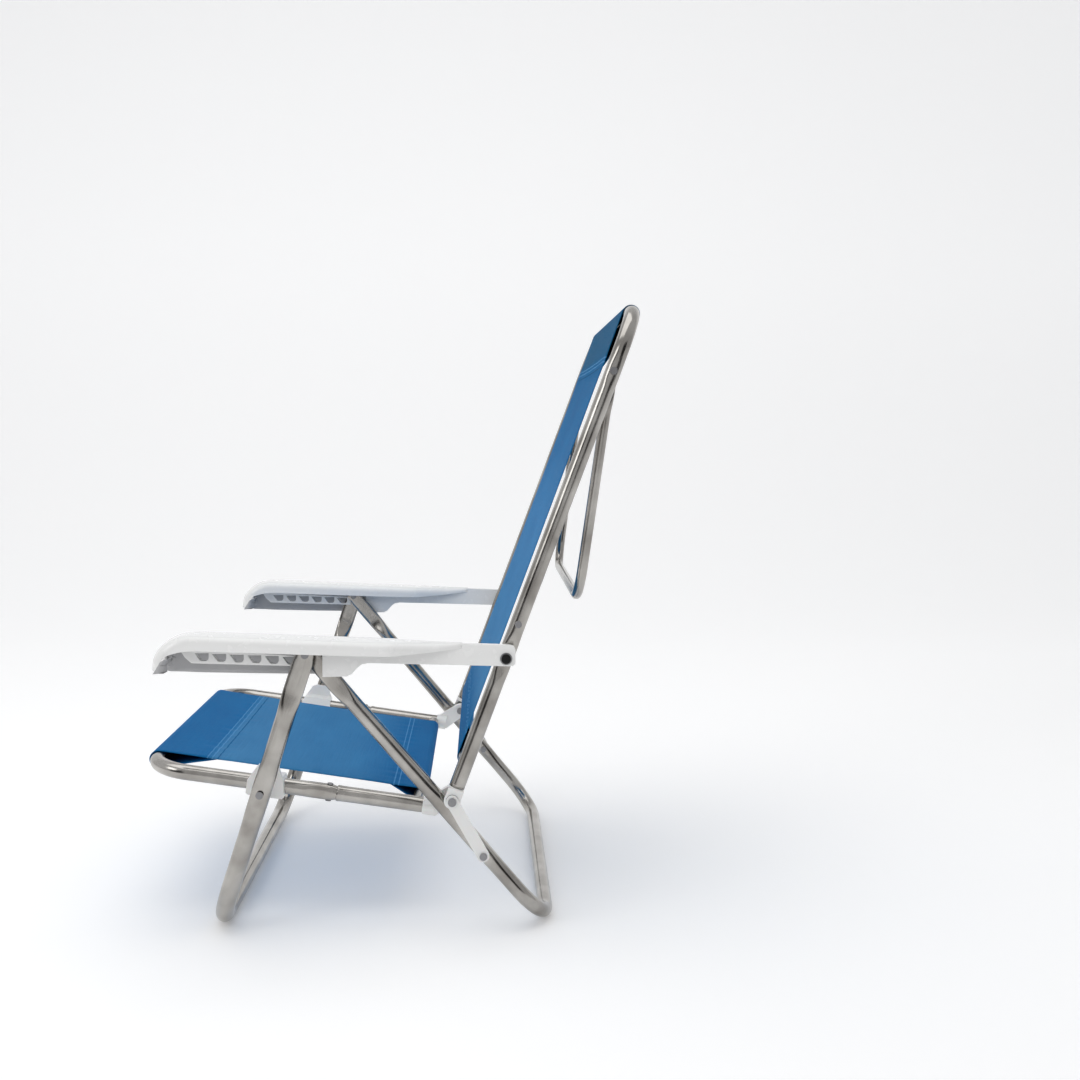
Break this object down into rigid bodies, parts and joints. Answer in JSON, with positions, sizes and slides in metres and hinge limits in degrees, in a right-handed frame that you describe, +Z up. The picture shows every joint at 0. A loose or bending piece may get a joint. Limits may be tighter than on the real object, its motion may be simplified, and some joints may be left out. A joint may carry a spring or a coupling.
{
  "type": "folding beach chair",
  "caption": "Low folding reclining beach chair: bare aluminium tube frames, stretched fabric seat and back, moulded armrests, swinging support leg.",
  "frame": {"origin": "on the floor, under the middle of the chair's overall box", "axes": "+Z up, -Y the way the sitter faces, +X the sitter's left"},
  "size_m": [0.594, 0.6058, 0.7632],
  "materials": {
    "bare_tube": "bright drawn aluminium, satin",
    "fixings": "plain steel rivets, bolts and bushes",
    "white_plastic": "moulded white plastic, satin",
    "black_screw": "black screw head",
    "sling": "woven coated mesh, blue"
  },
  "bodies": {
    "rear_legs": {"rear_leg_frame": "bare_tube", "leg_pivot_pins": "fixings", "link_rivets": "fixings"},
    "front_legs": {"front_leg_frame": "bare_tube", "seat_rivets": "fixings"},
    "links": {"link_left": "white_plastic", "link_right": "white_plastic", "hinge_bolts": "fixings"},
    "seat": {"seat_bow": "bare_tube", "seat_rail_left": "bare_tube", "seat_rail_right": "bare_tube", "seat_joint_rivets": "fixings", "seat_clamp_left": "white_plastic", "seat_clamp_right": "white_plastic", "rail_end_left": "white_plastic", "rail_end_right": "white_plastic", "seat_rear_bar": "bare_tube", "seat_sling": "sling"},
    "hinge_bushes": {"hinge_bush_left": "fixings", "hinge_bush_right": "fixings"},
    "backrest": {"backrest_frame": "bare_tube", "backrest_cap_left": "white_plastic", "backrest_cap_right": "white_plastic", "backrest_low_bar": "bare_tube", "back_sling": "sling", "support_rivets": "fixings", "armrest_screw_left": "black_screw", "armrest_screw_right": "black_screw", "post_rivets": "fixings"},
    "support_leg": {"support_leg": "bare_tube"},
    "bush_left": {"armrest_bush_left": "fixings"},
    "bush_right": {"armrest_bush_right": "fixings"},
    "armrest_left": {"armrest_left": "white_plastic"},
    "armrest_right": {"armrest_right": "white_plastic"}
  },
  "joints": [
    {"name": "fold", "type": "hinge", "parent": "rear_legs", "child": "links", "pos_m": [0, 0.11193, 0.10239], "axis": [-1, 0, 0], "range_deg": [0, 150]},
    {"name": "front_leg_turn", "type": "hinge", "parent": "rear_legs", "child": "front_legs", "pos_m": [0, -0.09511, 0.349], "axis": [1, 0, 0], "range_deg": [0, 49.1]},
    {"name": "seat_turn", "type": "hinge", "parent": "links", "child": "seat", "pos_m": [0, 0.07489, 0.169], "axis": [1, 0, 0], "range_deg": [0, 118.6]},
    {"name": "bush_turn", "type": "hinge", "parent": "links", "child": "hinge_bushes", "pos_m": [0, 0.07489, 0.169], "axis": [1, 0, 0], "range_deg": [0, 203.5]},
    {"name": "recline", "type": "hinge", "parent": "hinge_bushes", "child": "backrest", "pos_m": [0, 0.07489, 0.169], "axis": [-1, 0, 0], "range_deg": [0, 58]},
    {"name": "support_leg_swing", "type": "hinge", "parent": "backrest", "child": "support_leg", "pos_m": [0, 0.26486, 0.67982], "axis": [1, 0, 0], "range_deg": [-7, 54.8]},
    {"name": "armrest_bush_turn_left", "type": "hinge", "parent": "backrest", "child": "bush_left", "pos_m": [0, 0.13902, 0.34146], "axis": [-1, 0, 0], "range_deg": [0, 85.7]},
    {"name": "armrest_bush_turn_right", "type": "hinge", "parent": "backrest", "child": "bush_right", "pos_m": [0, 0.13902, 0.34146], "axis": [-1, 0, 0], "range_deg": [0, 85.7]},
    {"name": "armrest_turn_left", "type": "hinge", "parent": "bush_left", "child": "armrest_left", "pos_m": [0, 0.13902, 0.34146], "axis": [1, 0, 0], "range_deg": [0, 38.8]},
    {"name": "armrest_turn_right", "type": "hinge", "parent": "bush_right", "child": "armrest_right", "pos_m": [0, 0.13902, 0.34146], "axis": [1, 0, 0], "range_deg": [0, 38.8]}
  ],
  "couplings": [
    {"joint": "front_leg_turn", "follows": "fold", "ratio": 0.32351},
    {"joint": "seat_turn", "follows": "fold", "ratio": 0.78172},
    {"joint": "bush_turn", "follows": "fold", "ratio": 1.3427},
    {"joint": "armrest_bush_turn_left", "follows": "fold", "ratio": 0.56894},
    {"joint": "armrest_bush_turn_right", "follows": "fold", "ratio": 0.56894},
    {"joint": "armrest_turn_left", "follows": "recline", "ratio": 0.65932},
    {"joint": "armrest_turn_right", "follows": "recline", "ratio": 0.65932}
  ]
}
